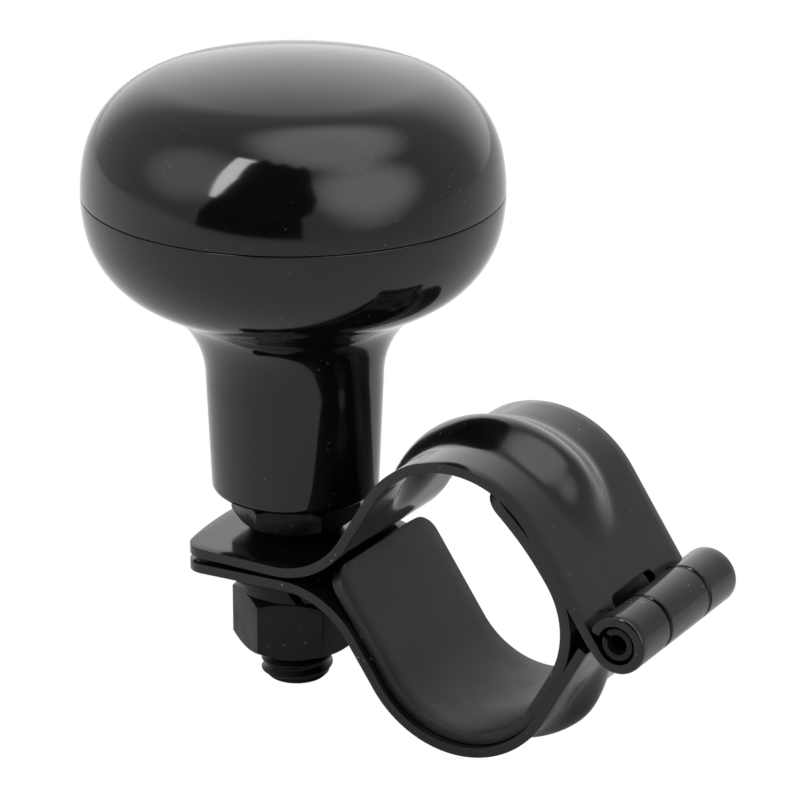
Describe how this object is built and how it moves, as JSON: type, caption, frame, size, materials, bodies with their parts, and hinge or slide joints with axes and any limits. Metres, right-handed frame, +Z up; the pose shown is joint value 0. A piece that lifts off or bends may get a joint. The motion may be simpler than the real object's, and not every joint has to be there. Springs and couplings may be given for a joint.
{
  "type": "steering wheel spinner knob",
  "caption": "Free-turning ball-bearing knob on a stud, with a hinged two-piece ribbed steel clamp and rubber liner that grips a steering wheel rim.",
  "frame": {"origin": "centre of the round rim seat in the rubber liner", "axes": "+Y along the steering wheel's rim, +X from the stud towards the hinge, +Z up along the stud towards the knob"},
  "size_m": [0.0707, 0.045, 0.071],
  "materials": {
    "gloss_black_plastic": "gloss",
    "black_painted_steel": "gloss",
    "black_oxide_steel": "satin",
    "bearing_steel": "polished",
    "cage_brass": "satin",
    "black_rubber": "matte"
  },
  "bodies": {
    "stud_and_upper_half": {"clamp_upper_half": "black_painted_steel", "hinge_pin": "black_oxide_steel", "stud": "black_oxide_steel", "lower_bearing_inner_ring": "bearing_steel", "upper_bearing_inner_ring": "bearing_steel", "inner_spacer": "bearing_steel", "thrust_washer": "bearing_steel", "retaining_clip": "bearing_steel"},
    "knob": {"knob_body": "gloss_black_plastic", "knob_cap": "gloss_black_plastic", "lower_bearing_outer_ring": "bearing_steel", "upper_bearing_outer_ring": "bearing_steel", "outer_spacer": "bearing_steel"},
    "lower_cage": {"lower_bearing_cage": "cage_brass", "lower_bearing_balls": "bearing_steel"},
    "upper_cage": {"upper_bearing_cage": "cage_brass", "upper_bearing_balls": "bearing_steel"},
    "lower_half": {"clamp_lower_half": "black_painted_steel", "rubber_liner": "black_rubber"},
    "washers": {"flat_washer": "black_oxide_steel", "spring_washer": "black_oxide_steel"},
    "nut": {"clamp_nut": "black_oxide_steel"}
  },
  "joints": [
    {"name": "knob_spin", "type": "hinge", "parent": "stud_and_upper_half", "child": "knob", "pos_m": [-0.0262, 0, 0.04], "axis": [0, 0, 1], "continuous": true},
    {"name": "lower_cage_spin", "type": "hinge", "parent": "stud_and_upper_half", "child": "lower_cage", "pos_m": [-0.0262, 0, 0.0125], "axis": [0, 0, 1], "continuous": true},
    {"name": "upper_cage_spin", "type": "hinge", "parent": "stud_and_upper_half", "child": "upper_cage", "pos_m": [-0.0262, 0, 0.0285], "axis": [0, 0, 1], "continuous": true},
    {"name": "nut_slide", "type": "slide", "parent": "stud_and_upper_half", "child": "washers", "axis": [0, 0, -1], "range_m": [0, 0.004]},
    {"name": "nut_turn", "type": "hinge", "parent": "washers", "child": "nut", "pos_m": [-0.0262, 0, -0.0055], "axis": [0, 0, 1], "range_deg": [-1155, 0]},
    {"name": "clamp_open", "type": "hinge", "parent": "stud_and_upper_half", "child": "lower_half", "pos_m": [0.01882, 0, 0.00489], "axis": [0, -1, 0], "range_deg": [0, 4.2]}
  ],
  "couplings": [
    {"joint": "lower_cage_spin", "follows": "knob_spin", "ratio": 0.6},
    {"joint": "upper_cage_spin", "follows": "knob_spin", "ratio": 0.6},
    {"joint": "nut_turn", "follows": "nut_slide", "rad_per_m": -5026.5},
    {"joint": "clamp_open", "follows": "nut_slide", "rad_per_m": 18}
  ]
}
